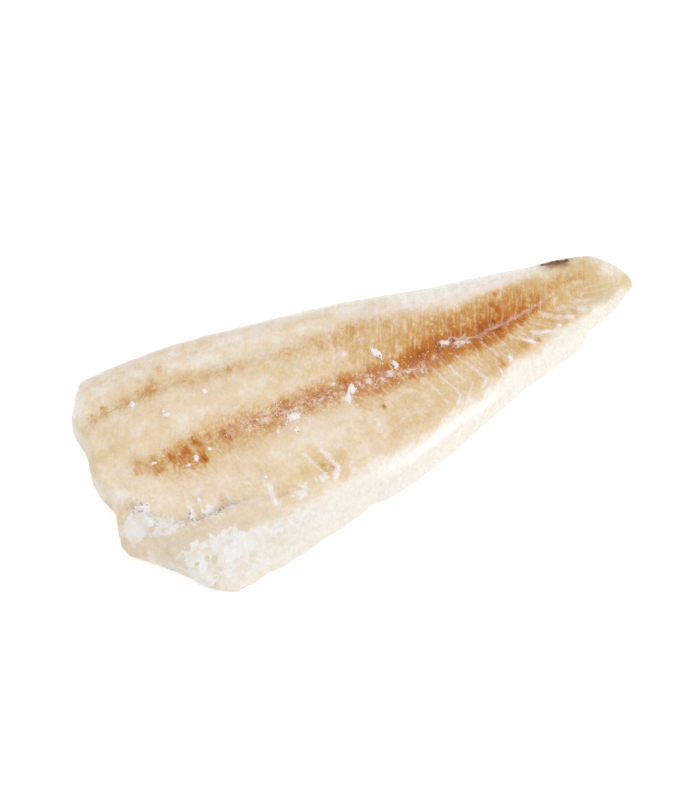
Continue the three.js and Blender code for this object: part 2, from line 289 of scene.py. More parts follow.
# Heaps of frost crystals: along, across, length, width, height and turn in degrees
FROST_HEAPS = (
    (135.2, 5, 7, 2.8, 1.5, -76), (139.6, -1.0, 4.0, 2.4, 1.2, -80), (116.8, -5.2, 5.4, 3.0, 0.9, 55),
    (113.6, -9.0, 4.6, 2.6, 0.5, 45), (87.6, -8.2, 5.6, 4.2, 1.0, 0), (42.3, -10.1, 2.4, 2.2, 0.9, 90),
    (25.2, -4.6, 2.0, 1.0, 0.5, 20), (38.6, 14.6, 3.0, 1.8, 0.7, 10), (38.4, 16.8, 1.2, 0.9, 0.4, 0),
    (58.2, 19.0, 2.5, 1.8, 0.7, -30), (28.0, 26.4, 3.0, 1.6, 0.4, 80), (49.0, -8.6, 1.3, 1.1, 0.5, 0),
    (38.3, -12.0, 1.3, 1.3, 0.5, 0), (35.4, -29.0, 1.6, 1.3, 0.5, 60), (64.8, -31.6, 1.6, 1.1, 0.5, 0),
    (78.8, -13.0, 1.8, 1.3, 0.5, 30), (86.4, -16.0, 2.8, 2.0, 0.5, 15), (110.8, 0.6, 1.9, 1.3, 0.6, 30),
    (199.8, -13.4, 3.4, 1.6, 0.5, -45), (208.4, -10.6, 5.4, 1.4, 0.5, -14),
    (216.0, -10.0, 2.4, 1.4, 0.4, 0), (187.2, -18.4, 3.2, 1.6, 0.5, 80),
    (180.2, -23.0, 1.8, 0.9, 0.4, 80),
)

# Frost crystals: how many lie on a square millimetre, their sizes as shares of the setting, and the strays
HEAP_CRYSTALS = 9.0
HEAP_SIZES = (0.5, 1.5)
THREAD_CRYSTALS = 2.0
THREAD_SIZES = (0.25, 0.6)
STRAY_SIZES = (0.3, 0.7)
STRAY_ALONG = (60.0, 165.0)
STRAY_SPREAD = 5.0
FROST_SEED = 8

# Seam between the belly flap and the loin
BELLY_SEAM = ((9, -19), (16, -31), (28, -36), (46, -36), (70, -41))

# Scrap of dark skin beside the back edge: where it runs, its half width, its reach down from the rim, the
# margin kept for cutting it out, the cuts that refine its mesh, and the level where there is no skin
SKIN_LINE = ((225.5, 24.4), (231, 23.2), (237, 21.6))
SKIN_WIDTH = ((224, 0.8), (228, 1.5), (233, 1.9), (237, 1.4), (240, 0.6))
SKIN_DROP = 3.0
SKIN_MARGIN = 0.2
SKIN_CUTS = 2
NO_SKIN = -9.0

# Stretches along the fillet: where each one starts, is full, starts to fade and ends
# The first stretch is where the painted highlight along the belly edge shows
BELLY_HIGHLIGHT = (96, 124, 168, 184)
BACK_RIDGE = (78, 96, 216, 228)
BORDER_FROST = (118, 136, 204, 220)
LINES_ABOVE = (112, 166, 200, 232)
LINES_BELOW = (112, 148, 232, 248)
FURROW = (120, 165, 222, 238)

# Layers of uneven relief: height, size of the bumps and seed, and the cells after which bumps repeat
FLESH_BUMPS = ((0.22, 15.0, 11), (0.1, 5.2, 12), (0.045, 2.2, 13))
WALL_BUMPS = ((0.34, 6.0, 19), (0.2, 2.6, 20))
UNDER_BUMPS = ((0.1, 9.0, 21),)
LATTICE = 64

# Heights and depths of the fine relief, in millimetres
FLAKE_GROOVE = 0.2
FLAKE_STEP = 0.1
FURROW_DEPTH = 0.5
TUFT_HEIGHT = 0.16
FIBRE_HEIGHT = 0.08
DUST_HEIGHT = 0.22
FILM_HEIGHT = 0.12
THREAD_HEIGHT = 0.16
SEAM_LIP = 0.28
SEAM_DEPTH = 0.8
BACK_SEAM_DEPTH = 0.55
WALL_GROOVE = 0.12
UNDER_DEPTH = 0.12
UNDER_FURROW = 0.4
UNDER_GROOVE = 0.14

# Points of the fine mesh below this height, in metres, are on the underside
UNDERSIDE_HEIGHT = 0.0004

# How much brighter than its own colour a surface shows in the stage's light
LIGHT = 1.11

# Stage: the lights' names, places and sizes in metres, the camera's sensor in millimetres, and the floor
LIGHTS = (
    ("overhead", (-0.1, 0.3, 1.2), 1.2),
    ("key", (0.75, -0.55, 0.65), 0.6),
    ("fill", (-0.75, -0.5, 0.5), 0.9),
)
SENSOR_HEIGHT = 36.0
FLOOR_SIZE = 8.0
FLOOR_HEIGHT = -0.0002
WHITE = (1.0, 1.0, 1.0, 1.0)


def smooth(value, low, high):
    """0 below low, 1 above high, and a smooth rise between them."""
    share = np.clip((value - low) / (high - low), 0.0, 1.0)
    return share * share * (3.0 - 2.0 * share)


def between(value, start, full, fading, end):
    """0 before the start and past the end, 1 from full to fading, and smooth between them."""
    return smooth(value, start, full) * (1.0 - smooth(value, fading, end))


def bell(distance, spread):
    """1 at no distance, falling off smoothly with the spread."""
    return np.exp(-((distance / spread) ** 2))


def read(pairs, place):
    """The value at a place from (place, value) pairs, straight between them."""
    places, values = zip(*pairs)
    return np.interp(place, places, values)


def bumps(points, size, seed):
    """Smooth seeded unevenness from -1 to 1, with bumps of the given size in millimetres."""
    lattice = np.random.default_rng(seed).uniform(-1.0, 1.0, (LATTICE, LATTICE, LATTICE))
    scaled = np.asarray(points) / size
    cell = np.floor(scaled).astype(int)
    part = scaled - cell
    weight = part * part * (3.0 - 2.0 * part)
    total = np.zeros(len(scaled))
    for corner in itertools.product((0, 1), repeat=3):
        index = (cell + corner) % LATTICE
        share = np.prod(np.where(corner, weight, 1.0 - weight), axis=1)
        total += share * lattice[index[:, 0], index[:, 1], index[:, 2]]
    return total


def ragged(points, size, seed):
    """Unevenness of three sizes, each half the one before."""
    shares = (1.0, 0.5, 0.25)
    layers = (share * bumps(points, share * size, seed + number) for number, share in enumerate(shares))
    return sum(layers) / sum(shares)


def layered(points, layers):
    """Sum of bumps, from the height, size and seed of each layer."""
    return sum(height * bumps(points, size, seed) for height, size, seed in layers)


def coordinates(mesh, kind="co"):
    """The mesh's vertices, or their normals, as an array."""
    source = mesh.vertices if kind == "co" else mesh.vertex_normals
    values = np.empty(len(mesh.vertices) * 3, np.float32)
    source.foreach_get(kind, values)
    return values.reshape(-1, 3).astype(float)


class Outline:
    """Distances from the midline to both long edges, and the rim's height, measured on the flesh."""

    STEP = 2.0
    RIM = 3.0

    def __init__(self, points):
        along = points[:, 0] - HEAD_END
        across = points[:, 1] - MIDLINE_Y
        self.stations = np.arange(0.0, LENGTH, self.STEP)
        bins = np.clip((along / self.STEP).round().astype(int), 0, len(self.stations) - 1)
        self.back = np.full(len(self.stations), -np.inf)
        self.belly = np.full(len(self.stations), np.inf)
        np.maximum.at(self.back, bins, across)
        np.minimum.at(self.belly, bins, across)
        self.rim = np.zeros(len(self.stations))
        near = across > self.back[bins] - self.RIM
        np.maximum.at(self.rim, bins[near], points[near, 2])

    def from_back(self, along, across):
        """Distance inside the back edge."""
        return np.interp(along, self.stations, self.back) - across

    def from_belly(self, along, across):
        """Distance inside the belly edge."""
        return across - np.interp(along, self.stations, self.belly)

    def below_rim(self, along, height):
        """Distance down from the rim of the back edge."""
        return np.interp(along, self.stations, self.rim) - height


class Places:
    """Where points given in millimetres lie on the fillet, and what the flesh is like there."""

    KINDS = (
        "flake", "brown", "pale", "ridge", "yellow", "frost", "frost_lines", "film", "specks", "stain",
        "seam", "fibre", "flap",
    )

    def __init__(self, points, outline):
        self.points = points
        self.along = points[:, 0] - HEAD_END
        self.across = points[:, 1] - MIDLINE_Y
        self.from_back = outline.from_back(self.along, self.across)
        self.from_belly = outline.from_belly(self.along, self.across)
        self.below_rim = outline.below_rim(self.along, points[:, 2])
        self.bent_along = self.along + WAVER * ragged(points, WAVER_SIZE, seed=31)
        self.bent_across = self.across + WAVER * ragged(points, WAVER_SIZE, seed=36)

    def off_oval(self, along, across, radius_along, radius_across):
        """Distance from the middle of a wavering oval, counted in its radii."""
        off_along = (self.bent_along - along) / radius_along
        return np.hypot(off_along, (self.bent_across - across) / radius_across)

    def inside_oval(self, *oval):
        """Rough distance inside an oval, negative outside it."""
        return (1.0 - self.off_oval(*oval)) * min(oval[2:])

    def near_oval(self, *oval):
        """1 at the middle of an oval, falling off smoothly past its rim."""
        return bell(self.off_oval(*oval), 1.0)

    def patches(self, table):
        """The share that each oval of a table gives."""
        return [share * self.near_oval(*oval) for *oval, share in table]

    def to_stretch(self, start, end):
        """Distance to an uneven stretch between two places."""
        way = np.subtract(end, start)
        x, y = self.bent_along - start[0], self.bent_across - start[1]
        share = np.clip((x * way[0] + y * way[1]) / (way @ way), 0.0, 1.0)
        return np.hypot(x - share * way[0], y - share * way[1])

    def to_route(self, route):
        """Distance to the nearest stretch of a route."""
        return np.min([self.to_stretch(*stretch) for stretch in zip(route, route[1:])], axis=0)

    def flake(self):
        """Flakes counted from the head end: whole numbers are the lines between two flakes."""
        away = np.abs(self.across)
        on_belly = self.across < 0
        # The start of the line through each point, found by halving a range that surely holds it
        low = self.along - 3.0 * away - 1.0
        high = self.along + 1.5 * away + 1.0
        for _ in range(24):
            start = (low + high) / 2.0
            hook = np.where(on_belly, read(HOOK_ACROSS, start), np.inf)
            before_hook = np.minimum(away, hook)
            belly_run = read(BELLY_LEAN, start) * before_hook
            belly_run += read(OUTER_LEAN, start) * np.maximum(before_hook - OUTER_START, 0.0)
            belly_run += HOOK_LEAN * (away - before_hook)
            past = start + np.where(on_belly, belly_run, BACK_LEAN * away) > self.along
            high = np.where(past, start, high)
            low = np.where(past, low, start)
        return (start - FIRST_FLAKE) / FLAKE_PITCH

    def brown(self):
        """Share of brown muscle."""
        white_back = read(WHITE_BACK_LINE, self.along)
        off = self.across - read(BAND_LINE, self.along)
        spread = np.where(off < 0, read(BAND_BELOW, self.along), read(BAND_ABOVE, self.along))
        band = read(BAND_SHARE, self.along) * bell(off, spread)
        below_white = smooth(white_back - self.across, -4.0, 3.0)
        fade = 0.6 * smooth(self.across, 8.0, white_back + 2.0)
        back_tan = read(BACK_TAN, self.along) * smooth(off, -6.0, 2.0) * below_white * (1.0 - fade)
        above_white = smooth(self.across - read(WHITE_BELLY_LINE, self.along), -2.0, 6.0)
        belly_tan = read(BELLY_TAN, self.along) * smooth(-off, -3.0, 3.0) * above_white
        off_seam = self.across - read(BACK_SEAM_LINE, self.along)
        seam = read(BACK_SEAM_SHARE, self.along) * bell(off_seam, BACK_SEAM_SPREAD)
        total = np.maximum(band, np.maximum(back_tan, belly_tan)) + seam
        for along, across, radius, share in BROWN_TUFTS:
            tuft = self.near_oval(along, across, TUFT_ALONG * radius, TUFT_ACROSS * radius)
            total += TUFT_SHARE * share * tuft
        return np.clip(total, 0.0, MOST_BROWN)

    def pale(self):
        """Share of white, frosted flesh, with painted light that lifts the shaded cut face at the head end
        and the flap's left wall.
        """
        uneven = 3.0 * ragged(self.points, size=9.0, seed=41)
        back = smooth(self.across - read(WHITE_BACK_LINE, self.along) + uneven, -7.0, 5.0)
        back *= read(WHITE_BACK_SHARE, self.along + 2.0 * uneven)
        belly = smooth(read(WHITE_BELLY_LINE, self.along) - self.across + uneven, -5.0, 5.0)
        belly *= read(WHITE_BELLY_SHARE, self.along)
        strip = 0.42 * smooth(self.across - read(BACK_SEAM_LINE, self.along) + uneven, 2.0, 10.0)
        rim = 0.9 * smooth(-self.from_back, -8.0, -1.0) * (1.0 - smooth(self.along, 212.0, 224.0))
        tip = 0.7 * smooth(self.along + uneven, 241.0, 255.0) * smooth(self.across, 2.0, 8.0)
        # Lighter at the head end: painted light that lifts its cut face out of the lamps' shade
        head = 0.35 * (1.0 - smooth(self.along + 0.4 * uneven, 2.0, 8.0))
        shares = [back, belly, strip, rim, tip, head, *self.patches(PALE_PATCHES)]
        return np.clip(np.max(shares, axis=0), 0.0, 1.0)

    def ridge(self):
        """Share of the brightest white: a painted highlight on the belly edge's shoulder, and white on the
        back rim and the head's upper corner.
        """
        off = self.across - read(BELLY_HIGHLIGHT_LINE, self.along) + 0.8 * bumps(self.points, size=9.0, seed=42)
        # The belly part is a painted highlight along the shoulder of the belly edge
        belly = bell(off, 1.7) * between(self.along, *BELLY_HIGHLIGHT)
        back = 0.9 * smooth(ragged(self.points, size=6.0, seed=43) - self.from_back, -6.5, -2.0)
        back *= between(self.along, *BACK_RIDGE)
        return np.max([belly, back, self.near_oval(*HEAD_CORNER)], axis=0)

    def yellow(self):
        """Share of yellow, translucent flesh: the tail, the head end and the outer loin."""
        tail = 0.8 * smooth(self.along, 198.0, 226.0) * (1.0 - 0.3 * smooth(self.along, 248.0, 260.0))
        return np.clip(tail + sum(self.patches(YELLOW_PATCHES)), 0.0, 1.0)

    def frost(self):
        """How much frost dust lies on the flesh."""
        line = bell(self.across - read(FROST_LINE, self.along), read(FROST_LINE_WIDTH, self.along))
        line *= read(FROST_LINE_SHARE, self.along)
        border = 0.56 * bell(self.across - read(WHITE_BACK_LINE, self.along) - 1.0, 4.0)
        border *= between(self.along, *BORDER_FROST)
        return np.clip(np.max([line, border, *self.patches(FROST_BLOOMS)], axis=0), 0.0, 1.0)

    def frost_lines(self):
        """How much frost shows on the lines between the flakes."""
        above = between(self.across, -1.0, 1.5, 9.0, 19.0) * between(self.along, *LINES_ABOVE)
        from_white = self.across - read(WHITE_BELLY_LINE, self.along)
        below = smooth(-self.across, 4.0, 11.0) * smooth(from_white, -4.0, 2.0)
        below *= between(self.along, *LINES_BELOW)
        return np.clip(0.12 * above + 0.5 * below + 0.06, 0.0, 1.0)

    def film(self):
        """Rough distance inside the white film on the belly flap, negative outside it."""
        cover = np.max([self.inside_oval(*patch) for patch in FILM_PATCHES], axis=0)
        holes = np.max([self.inside_oval(*hole) for hole in FILM_HOLES], axis=0)
        return np.clip(np.minimum(cover, -holes), -FILM_REACH, FILM_REACH)

    def threads(self):
        """Distance to the nearest frost thread, counted in its half widths, and that thread's share."""
        nearest = np.full(len(self.along), THREAD_REACH)
        share = np.zeros(len(self.along))
        for route, width, thread_share in FROST_THREADS:
            for start, end in zip(route, route[1:]):
                off = self.to_stretch(start, end) * 2.0 / width
                share = np.where(off < nearest, thread_share, share)
                nearest = np.minimum(nearest, off)
        return nearest, share

    def specks(self):
        """How many dark specks lie on the flesh."""
        return np.clip(sum(self.patches(SPECK_PATCHES)), 0.0, 1.0)

    def stain(self):
        """How much the skin has stained the flesh beside it."""
        return self.near_oval(*STAIN)

    def seam(self):
        """How much the seam beside the belly flap, and the foot of the head end, shade the flesh."""
        seam = bell(self.to_route(BELLY_SEAM), 2.6) * (1.0 - smooth(self.along, 40.0, 66.0))
        cut_face = (1.0 - smooth(self.along, 2.0, 5.0)) * (1.0 - smooth(self.points[:, 2], 4.0, 12.0))
        return np.max([seam, 0.6 * self.near_oval(*FLAP_SHADE), 0.8 * cut_face], axis=0)

    def flap(self):
        """Share of the glassy flesh of the belly flap and the foot of the tail."""
        return np.max(self.patches(GLASSY_PATCHES), axis=0)

    def fibre(self):
        """How much the fibres of the flesh show."""
        return 0.4 + 0.6 * smooth(self.along, 100.0, 150.0)

    def marks(self, facing):
        """All that the flesh's material reads from its points; facing is the upward part of the normal."""
        marks = {kind: getattr(self, kind)() for kind in self.KINDS}
        marks["thread"], marks["thread_share"] = self.threads()
        marks["across"] = self.across
        marks["edge"] = np.minimum(self.from_belly, self.from_back)
        under = smooth(-facing, 0.2, 0.7)
        for kind in ("ridge", "frost", "specks", "stain", "seam"):
            marks[kind] *= 1.0 - under
        marks["film"] = np.where(under > 0.5, -FILM_REACH, marks["film"])
        marks["thread"] = np.where(under > 0.5, THREAD_REACH, marks["thread"])
        inner = smooth(marks["edge"], 4.0, 16.0)
        off = self.across - 1.0 + 2.4 * ragged(self.points, size=14.0, seed=51)
        band = bell(off, 3.0 + ragged(self.points, size=9.0, seed=54))
        skin_side = inner * (0.16 + 0.5 * band * smooth(self.along, 4.0, 50.0))
        marks["brown"] += under * (skin_side - marks["brown"])
        marks["pale"] += under * (0.75 - 0.45 * inner - marks["pale"])
        marks["yellow"] *= 1.0 - 0.6 * under
        return marks

    def skin(self):
        """Above 0 where the scrap of skin lies."""
        level = 1.0 - self.to_route(SKIN_LINE) / read(SKIN_WIDTH, self.along)
        level += 0.7 * ragged(self.points, size=2.4, seed=61)
        return np.where(self.below_rim > SKIN_DROP, NO_SKIN, level)


MARKS = (*Places.KINDS, "thread", "thread_share", "across", "edge")


def relief(places, marks, facing):
    """Height of the fine relief over the solid, in millimetres; facing is the upward part of the normal."""
    along, across, points = places.along, places.across, places.points
    top = smooth(facing, 0.15, 0.6)
    wall = 1.0 - smooth(np.abs(facing), 0.3, 0.7)
    under = smooth(-facing, 0.6, 0.9)
    flake, brown = marks["flake"], marks["brown"]
    to_line = np.abs(flake - np.round(flake)) * FLAKE_PITCH
    show = (0.2 + 0.8 * smooth(along, 96.0, 150.0)) * (1.0 - 0.8 * marks["pale"])

    height = layered(points, FLESH_BUMPS)
    height -= FLAKE_GROOVE * show * bell(to_line, 0.55) * top
    height += FLAKE_STEP * show * (flake - np.floor(flake) - 0.5) * top
    off_furrow = across - read(FROST_LINE, along) + 0.7 * bumps(points, size=7.0, seed=14)
    height -= FURROW_DEPTH * bell(off_furrow, 1.0) * between(along, *FURROW) * top
    tufts = TUFT_HEIGHT * np.abs(bumps(points, size=2.4, seed=15))
    height += brown * top * (tufts + FIBRE_HEIGHT * bumps(points, size=1.3, seed=16))
    height += marks["frost"] * top * DUST_HEIGHT * np.abs(bumps(points, size=1.4, seed=22))
    height += top * FILM_HEIGHT * smooth(marks["film"] + 1.2 * ragged(points, size=3.0, seed=23), -0.2, 0.6)
    height += top * THREAD_HEIGHT * (1.0 - smooth(marks["thread"], 0.4, 1.6))

    belly_seam = places.to_route(BELLY_SEAM)
    height += top * (SEAM_LIP * bell(belly_seam - 2.2, 1.2) - SEAM_DEPTH * bell(belly_seam, 0.8))
    back_seam = across - read(BACK_SEAM_LINE, along) + 0.6 * bumps(points, size=4.0, seed=18)
    open_seam = between(along, 3.0, 8.0, 90.0, 126.0) * (1.0 - 0.7 * smooth(along, 22.0, 34.0))
    height -= BACK_SEAM_DEPTH * open_seam * bell(back_seam, 0.7) * top

    height += wall * (layered(points, WALL_BUMPS) - WALL_GROOVE * bell(to_line, 0.6))
    sunk = UNDER_DEPTH + layered(points, UNDER_BUMPS)
    sunk += UNDER_FURROW * bell(across, 1.6) + UNDER_GROOVE * bell(to_line, 0.6)
    return height * (1.0 - under) - under * np.maximum(sunk, 0.0)


def tone(red, green, blue):
    """A surface colour, from how it shows in the stage's light as shares out of 255 on screen."""
    shares = np.array((red, green, blue)) / 255.0
    linear = np.where(shares <= 0.04045, shares / 12.92, ((shares + 0.055) / 1.055) ** 2.4)
    return tuple((linear / LIGHT).tolist())


def color_setting(name, description, red, green, blue):
    """A colour property, given as it shows on screen."""
    return FloatVectorProperty(
        name=name, description=description, subtype="COLOR", min=0.0, max=1.0,
        default=tone(red, green, blue),
    )


def number_setting(name, description, default, **kind):
    """A number property that isn't negative."""
    return FloatProperty(name=name, description=description, default=default, min=0.0, **kind)


def length_setting(name, description, default):
    """A length property, in metres."""
    return number_setting(name, description, default, unit="LENGTH", precision=5)


def power_setting(name, description, default):
    """A light's power, in watts."""
    return number_setting(name, description, default, unit="POWER")


def angle_setting(name, description, degrees):
    """An angle property, given in degrees."""
    return FloatProperty(name=name, description=description, default=math.radians(degrees), subtype="ANGLE")


class FleshSettings(bpy.types.PropertyGroup):
    """Sizes and colours of the flesh."""

    mesh_step: length_setting("Mesh step", "Distance between the points of the fine flesh", 0.00065)
    underside_share: FloatProperty(
        name="Underside share", description="Share of the points kept on the underside",
        default=0.16, min=0.01, max=1.0, subtype="FACTOR",
    )
    cream: color_setting("Cream", "Main colour", 232, 215, 190)
    deep_cream: color_setting("Deep cream", "Darker parts of the loin", 229, 208, 177)
    shaded: color_setting("Shaded", "Glassy hollows of the loin", 224, 197, 163)
    pale: color_setting("Pale", "White, frosted flesh", 239, 233, 224)
    # White also paints the highlight along the shoulder of the belly edge
    white: color_setting("White", "Brightest flesh on the belly edge", 253, 250, 245)
    yellow: color_setting("Yellow", "Tail and head end", 213, 196, 147)
    tan: color_setting("Tan", "Thin brown muscle", 209, 168, 106)
    brown: color_setting("Brown", "Brown muscle", 188, 114, 40)
    dark: color_setting("Dark brown", "Densest brown muscle", 150, 74, 10)
    speck: color_setting("Speck", "Dark specks", 112, 106, 106)
    rime: color_setting("Rime", "Thin frost on brown muscle", 234, 216, 207)
    frost: color_setting("Frost", "Thick frost", 241, 237, 240)
    film: color_setting("Film", "White film on the belly flap", 236, 234, 232)
    flap: color_setting("Flap", "Glassy flesh of the belly flap", 213, 200, 175)
    stain: color_setting("Stain", "Flesh beside the skin", 150, 114, 84)
    shadow: color_setting("Shadow", "Flesh beside the belly flap and at the head end's foot", 203, 184, 164)


class FrostSettings(bpy.types.PropertyGroup):
    """Sizes and colour of the frost crystals."""

    crystal: length_setting("Crystal", "Size of a frost crystal", 0.0009)
    stray_crystals: IntProperty(
        name="Stray crystals", description="Single crystals over the loin", default=140, min=0
    )
    glow: number_setting("Glow", "Light scattered inside the crystals", 0.12)
    color: color_setting("Frost", "Colour of the crystals", 237, 230, 227)


class SkinSettings(bpy.types.PropertyGroup):
    """Thickness and colours of the scrap of skin."""

    thickness: length_setting("Thickness", "Thickness of the skin", 0.0002)
    dark: color_setting("Dark", "Dark of the skin", 84, 54, 38)
    light: color_setting("Light", "Worn skin", 146, 110, 80)


class StageSettings(bpy.types.PropertyGroup):
    """Camera, light and floor."""

    azimuth: angle_setting("Azimuth", "Camera's turn", -25)
    elevation: angle_setting("Elevation", "Camera's height", 58)
    distance: length_setting("Distance", "Camera to aim", 0.968)
    lens: number_setting("Lens", "Focal length in millimetres", 99.0, unit="CAMERA")
    aim: FloatVectorProperty(
        name="Aim", description="Point at the picture's middle", subtype="XYZ", unit="LENGTH", precision=5,
        default=(-0.01156, 0.00628, 0.0),
    )
    sky: number_setting("Sky", "Strength of the even light", 0.62)
    key: power_setting("Key", "Power of the key light", 5.2)
    fill: power_setting("Fill", "Power of the fill light", 1.8)
    overhead: power_setting("Overhead", "Power of the overhead light", 5.6)
    floor: FloatVectorProperty(
        name="Floor", description="Colour of the floor", subtype="COLOR", min=0.0, max=1.0,
        default=(0.6, 0.6, 0.6),
    )
    glow: number_setting("Glow", "Strength of the floor's own light", 0.5)


class Steps:
    """Adds linked nodes to a node tree, so that a material reads as a list of steps."""

    def __init__(self, tree):
        self.tree = tree

    def feed(self, socket, value):
        """Links an input to another node's output, or sets it to a plain value."""
        if isinstance(value, bpy.types.NodeSocket):
            self.tree.links.new(value, socket)
        else:
            socket.default_value = value

    def node(self, kind, inputs=(), **settings):
        """A new node with the given settings and inputs."""
        made = self.tree.nodes.new(kind)
        for name, value in settings.items():
            setattr(made, name, value)
        for name, value in dict(inputs).items():
            self.feed(made.inputs[name], value)
        return made

    def math(self, operation, *values):
        """The result of one Math node."""
        return self.node("ShaderNodeMath", enumerate(values), operation=operation).outputs[0]

    def times(self, first, second):
        """The product of two values."""
        return self.math("MULTIPLY", first, second)

    def minus(self, first, second):
        """The first value less the second."""
        return self.math("SUBTRACT", first, second)

    def larger(self, first, second):
        """The larger of two values."""
        return self.math("MAXIMUM", first, second)

    def plus(self, *values):
        """The total of all the values."""
        total = values[0]
        for value in values[1:]:
            total = self.math("ADD", total, value)
        return total

    def swing(self, noise, reach):
        """Noise as a change of up to about a third of the reach to both sides."""
        return self.times(self.minus(noise, 0.5), reach)

    def blend(self, share, first, second, kind="MIX"):
        """Two colours mixed, with the given share of the second."""
        inputs = {0: share, 6: first, 7: second}
        return self.node("ShaderNodeMix", inputs, data_type="RGBA", blend_type=kind).outputs[2]

    def rise(self, value, low, high, to_low=0.0, to_high=1.0):
        """A smooth change from to_low to to_high while the value goes from low to high."""
        inputs = {0: value, 1: low, 2: high, 3: to_low, 4: to_high}
        return self.node("ShaderNodeMapRange", inputs, interpolation_type="SMOOTHSTEP").outputs[0]

    def attribute(self, name):
        """A value that the mesh holds at each point."""
        return self.node("ShaderNodeAttribute", attribute_name=name).outputs["Fac"]

    def place(self):
        """The place on the object, in metres."""
        return self.node("ShaderNodeTexCoord").outputs["Object"]

    def noise_at(self, place, scale, detail, roughness):
        """Noise from 0 to 1 at a place."""
        inputs = {"Vector": place, "Scale": scale, "Detail": detail, "Roughness": roughness}
        return self.node("ShaderNodeTexNoise", inputs).outputs[0]

    def noise(self, size, detail=2.0, roughness=0.5):
        """Noise with bumps of the given size in millimetres."""
        return self.noise_at(self.place(), 1.0 / (size * MM), detail, roughness)

    def sized_noise(self, size, detail, roughness):
        """Noise inside a group, whose bump size in millimetres comes from a socket."""
        return self.noise_at(self.place(), self.math("DIVIDE", 1.0 / MM, size), detail, roughness)

    def flat_noise(self, x, y, detail, roughness):
        """Noise on a flat sheet with the given coordinates."""
        place = self.node("ShaderNodeCombineXYZ", {"X": x, "Y": y, "Z": 0.0}).outputs[0]
        return self.noise_at(place, 1.0, detail, roughness)

    def shade(self, look, value):
        """The look made lighter or darker by a value near 1."""
        gray = self.node("ShaderNodeCombineColor", {0: value, 1: value, 2: value}).outputs[0]
        return self.blend(1.0, look, gray, "MULTIPLY")

    def bump(self, strength, distance, height):
        """The normal of a surface with the given height, up to a distance in metres."""
        inputs = {"Strength": strength, "Distance": distance, "Height": height}
        return self.node("ShaderNodeBump", inputs).outputs[0]

    def group(self, tree, **inputs):
        """The outputs of a node group with the given inputs."""
        made = self.tree.nodes.new("ShaderNodeGroup")
        made.node_tree = tree
        for name, value in inputs.items():
            self.feed(made.inputs[name.capitalize()], value)
        return made.outputs


def new_group(name, inputs, outputs):
    """An empty shader node group with the named sockets, as (tree, steps, inputs, results)."""
    tree = bpy.data.node_groups.new(name, "ShaderNodeTree")
    for socket, default in inputs.items():
        made = tree.interface.new_socket(socket, in_out="INPUT", socket_type="NodeSocketFloat")
        made.default_value = default
    for socket in outputs:
        tree.interface.new_socket(socket, in_out="OUTPUT", socket_type="NodeSocketFloat")
    steps = Steps(tree)
    return tree, steps, steps.node("NodeGroupInput").outputs, steps.node("NodeGroupOutput").inputs


def patches_group():
    """Ragged patches and a web of strands, which cover more of the surface as their amount rises."""
    sockets = {"Amount": 0.5, "Size": 3.0, "Softness": 0.1}
    tree, steps, given, result = new_group("Ragged patches", sockets, ["Mask"])
    amount, size, softness = given["Amount"], given["Size"], given["Softness"]
    border = 0.54
    level = steps.plus(amount, steps.swing(steps.sized_noise(size, 4.0, 0.66), 1.7))
    patches = steps.rise(level, steps.minus(border, softness), steps.plus(border, softness))
    off_strand = steps.minus(steps.sized_noise(steps.times(size, 2.2), 3.0, 0.55), 0.5)
    strands = steps.rise(steps.math("ABSOLUTE", off_strand), 0.0, 0.035, 0.9, 0.0)
    shown = steps.plus(amount, steps.swing(steps.sized_noise(steps.times(size, 4.0), 2.0, 0.5), 1.2))
    strands = steps.times(strands, steps.rise(shown, 0.22, 0.5))
    steps.feed(result["Mask"], steps.larger(patches, strands))
    return tree


def grain_group():
    """Fine ice grain: a height for bump and a value for roughness and shade."""
    tree, steps, given, result = new_group("Ice grain", {"Size": 1.0}, ["Height", "Value"])
    coarse = steps.sized_noise(given["Size"], 3.0, 0.62)
    fine = steps.sized_noise(steps.times(given["Size"], 0.3), 2.0, 0.6)
    steps.feed(result["Height"], steps.plus(steps.times(coarse, 0.7), steps.times(fine, 0.3)))
    steps.feed(result["Value"], coarse)
    return tree


def shared(name, make):
    """A node group that is built once."""
    return bpy.data.node_groups.get(name) or make()


def opaque(value):
    """A colour with full alpha."""
    return (*value, 1.0)


def new_material(name):
    """A new material, as (material, steps, shader)."""
    material = bpy.data.materials.new(name)
    material.use_nodes = True
    return material, Steps(material.node_tree), material.node_tree.nodes["Principled BSDF"]


def set_shader(steps, shader, values):
    """Feeds the shader's inputs by name."""
    for name, value in values.items():
        steps.feed(shader.inputs[name], value)


